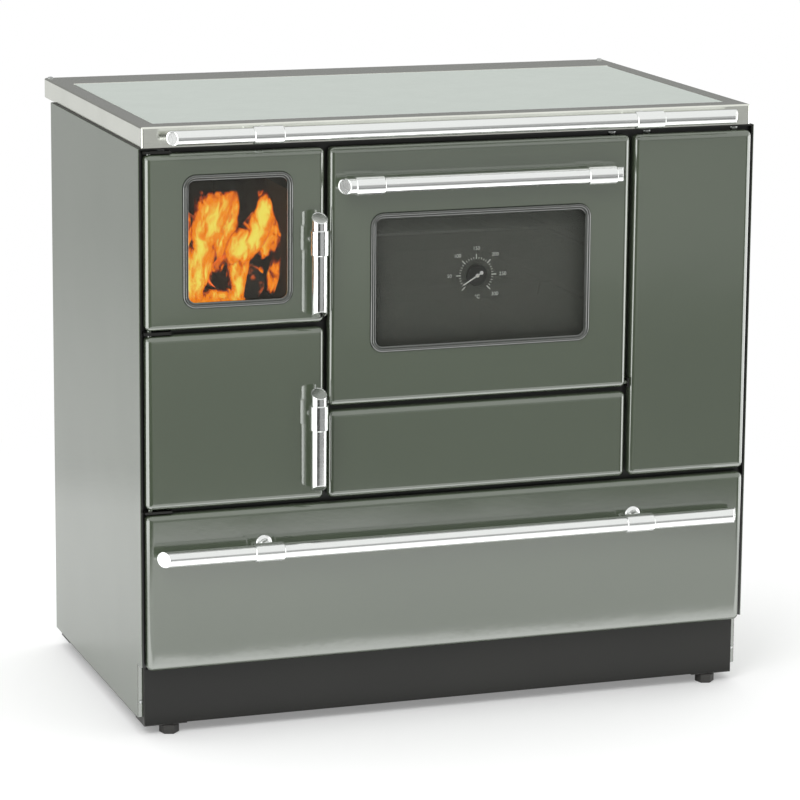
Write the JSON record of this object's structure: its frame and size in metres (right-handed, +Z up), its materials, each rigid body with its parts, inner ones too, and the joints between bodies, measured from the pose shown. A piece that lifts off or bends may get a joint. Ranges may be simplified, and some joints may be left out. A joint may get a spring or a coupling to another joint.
{
  "type": "wood cookstove",
  "caption": "Wood-burning cookstove: glazed firebox door over an ash door, drop-down oven door with dial thermometer, fuel drawer, steel hob plate, towel rail and rear flue collar.",
  "frame": {"origin": "centre of the bounding box on the floor", "axes": "+X to the right seen from the front, front at -Y, +Z up"},
  "size_m": [0.9, 0.607, 0.85],
  "materials": {
    "green_enamel": "glossy grey-green vitreous enamel",
    "black_enamel": "semi-matt black enamel",
    "stainless_steel": "brushed",
    "ground_steel": "ground and oiled plate",
    "bright_chrome": "polished",
    "zinc_plate": "zinc plated sheet",
    "cast_iron_black": "raw casting",
    "dark_sheet_steel": "heat-proof paint",
    "oven_lining": "dark grey enamel",
    "firebrick": "pressed brick, matt",
    "rope_seal": "woven glass-fibre rope",
    "ceramic_glass": "polished, smoky",
    "dial_white": "painted",
    "dark_polymer": "moulded"
  },
  "bodies": {
    "stove_body": {"carcass": "dark_sheet_steel", "front_frame": "black_enamel", "back_panel": "zinc_plate", "plinth_panel": "black_enamel", "left_side_panel": "green_enamel", "right_side_panel": "green_enamel", "hob_frame": "stainless_steel", "hob_seal": "rope_seal", "rail_bar": "bright_chrome", "rail_bracket_left": "bright_chrome", "rail_bracket_right": "bright_chrome", "firebox_shell": "dark_sheet_steel", "firebrick_left": "firebrick", "firebrick_right": "firebrick", "firebrick_rear": "firebrick", "grate": "cast_iron_black", "ash_housing": "dark_sheet_steel", "ash_pan": "zinc_plate", "oven_box": "oven_lining", "oven_grid": "bright_chrome", "baking_tray": "oven_lining", "flue_box": "dark_sheet_steel", "flue_collar": "cast_iron_black", "lower_cover": "green_enamel", "right_cover": "green_enamel"},
    "hob_top": {"hob_plate": "ground_steel"},
    "fire_door": {"fire_door_pan": "green_enamel", "fire_window_trim": "black_enamel", "fire_door_glass": "ceramic_glass", "fire_door_liner": "dark_sheet_steel", "fire_door_seal": "rope_seal"},
    "fire_door_latch": {"fire_latch": "bright_chrome"},
    "ash_door": {"ash_door_pan": "green_enamel", "ash_door_liner": "dark_sheet_steel"},
    "ash_door_latch": {"ash_latch": "bright_chrome"},
    "air_regulator": {"air_slide": "zinc_plate"},
    "oven_door": {"oven_door_pan": "green_enamel", "oven_window_trim": "black_enamel", "oven_door_glass": "ceramic_glass", "oven_door_inner": "dark_sheet_steel", "oven_inner_glass": "ceramic_glass", "oven_door_seal": "rope_seal", "oven_handle_bar": "bright_chrome", "oven_handle_bracket_left": "bright_chrome", "oven_handle_bracket_right": "bright_chrome", "thermometer_hub": "dark_polymer"},
    "needle": {"thermometer_needle": "dial_white"},
    "drawer": {"drawer_front": "green_enamel", "drawer_bin": "zinc_plate", "drawer_handle_bar": "bright_chrome", "drawer_handle_bracket_left": "bright_chrome", "drawer_handle_bracket_right": "bright_chrome"},
    "front_left_roller_body": {"front_left_roller": "dark_polymer"},
    "front_right_roller_body": {"front_right_roller": "dark_polymer"},
    "rear_left_roller_body": {"rear_left_roller": "dark_polymer"},
    "rear_right_roller_body": {"rear_right_roller": "dark_polymer"},
    "front_left_foot_body": {"front_left_foot": "zinc_plate"},
    "front_right_foot_body": {"front_right_foot": "zinc_plate"},
    "rear_left_foot_body": {"rear_left_foot": "zinc_plate"},
    "rear_right_foot_body": {"rear_right_foot": "zinc_plate"}
  },
  "joints": [
    {"name": "fire_door_hinge", "type": "hinge", "parent": "stove_body", "child": "fire_door", "pos_m": [-0.4365, -0.2585, 0.69375], "axis": [0, 0, -1], "range_deg": [0, 105]},
    {"name": "fire_latch_turn", "type": "hinge", "parent": "fire_door", "child": "fire_door_latch", "pos_m": [-0.206, -0.2905, 0.68875], "axis": [0, 1, 0], "range_deg": [0, 80]},
    {"name": "ash_door_hinge", "type": "hinge", "parent": "stove_body", "child": "ash_door", "pos_m": [-0.4365, -0.2585, 0.44575], "axis": [0, 0, -1], "range_deg": [0, 105]},
    {"name": "ash_latch_turn", "type": "hinge", "parent": "ash_door", "child": "ash_door_latch", "pos_m": [-0.206, -0.2905, 0.44575], "axis": [0, 1, 0], "range_deg": [0, 80]},
    {"name": "air_slide_travel", "type": "slide", "parent": "ash_door", "child": "air_regulator", "axis": [1, 0, 0], "range_m": [0, 0.017]},
    {"name": "oven_door_hinge", "type": "hinge", "parent": "stove_body", "child": "oven_door", "pos_m": [0.03725, -0.2605, 0.461], "axis": [1, 0, 0], "range_deg": [0, 90]},
    {"name": "thermometer_needle_turn", "type": "hinge", "parent": "oven_door", "child": "needle", "pos_m": [0.03725, -0.2515, 0.624], "axis": [0, 1, 0], "range_deg": [-14, 256], "stiffness_Nm_per_rad": 0.002},
    {"name": "drawer_slide", "type": "slide", "parent": "stove_body", "child": "drawer", "axis": [0, -1, 0], "range_m": [0, 0.34]},
    {"name": "hob_plate_lift", "type": "slide", "parent": "stove_body", "child": "hob_top", "axis": [0, 0, 1], "range_m": [0, 0.1]},
    {"name": "front_left_roller_spin", "type": "hinge", "parent": "stove_body", "child": "front_left_roller_body", "pos_m": [-0.3915, -0.2265, 0.1107], "axis": [1, 0, 0], "continuous": true},
    {"name": "rear_left_roller_spin", "type": "hinge", "parent": "drawer", "child": "rear_left_roller_body", "pos_m": [-0.3915, 0.1558, 0.1107], "axis": [1, 0, 0], "continuous": true},
    {"name": "front_right_roller_spin", "type": "hinge", "parent": "stove_body", "child": "front_right_roller_body", "pos_m": [0.3915, -0.2265, 0.1107], "axis": [1, 0, 0], "continuous": true},
    {"name": "rear_right_roller_spin", "type": "hinge", "parent": "drawer", "child": "rear_right_roller_body", "pos_m": [0.3915, 0.1558, 0.1107], "axis": [1, 0, 0], "continuous": true},
    {"name": "front_left_foot_screw", "type": "hinge", "parent": "stove_body", "child": "front_left_foot_body", "pos_m": [-0.405, -0.234, 0.01], "axis": [0, 0, 1], "continuous": true},
    {"name": "rear_left_foot_screw", "type": "hinge", "parent": "stove_body", "child": "rear_left_foot_body", "pos_m": [-0.405, 0.2135, 0.01], "axis": [0, 0, 1], "continuous": true},
    {"name": "front_right_foot_screw", "type": "hinge", "parent": "stove_body", "child": "front_right_foot_body", "pos_m": [0.405, -0.234, 0.01], "axis": [0, 0, 1], "continuous": true},
    {"name": "rear_right_foot_screw", "type": "hinge", "parent": "stove_body", "child": "rear_right_foot_body", "pos_m": [0.405, 0.2135, 0.01], "axis": [0, 0, 1], "continuous": true}
  ],
  "couplings": [
    {"joint": "front_left_roller_spin", "follows": "drawer_slide", "rad_per_m": 90.909},
    {"joint": "front_right_roller_spin", "follows": "drawer_slide", "rad_per_m": 90.909},
    {"joint": "rear_left_roller_spin", "follows": "drawer_slide", "rad_per_m": 90.909},
    {"joint": "rear_right_roller_spin", "follows": "drawer_slide", "rad_per_m": 90.909}
  ]
}
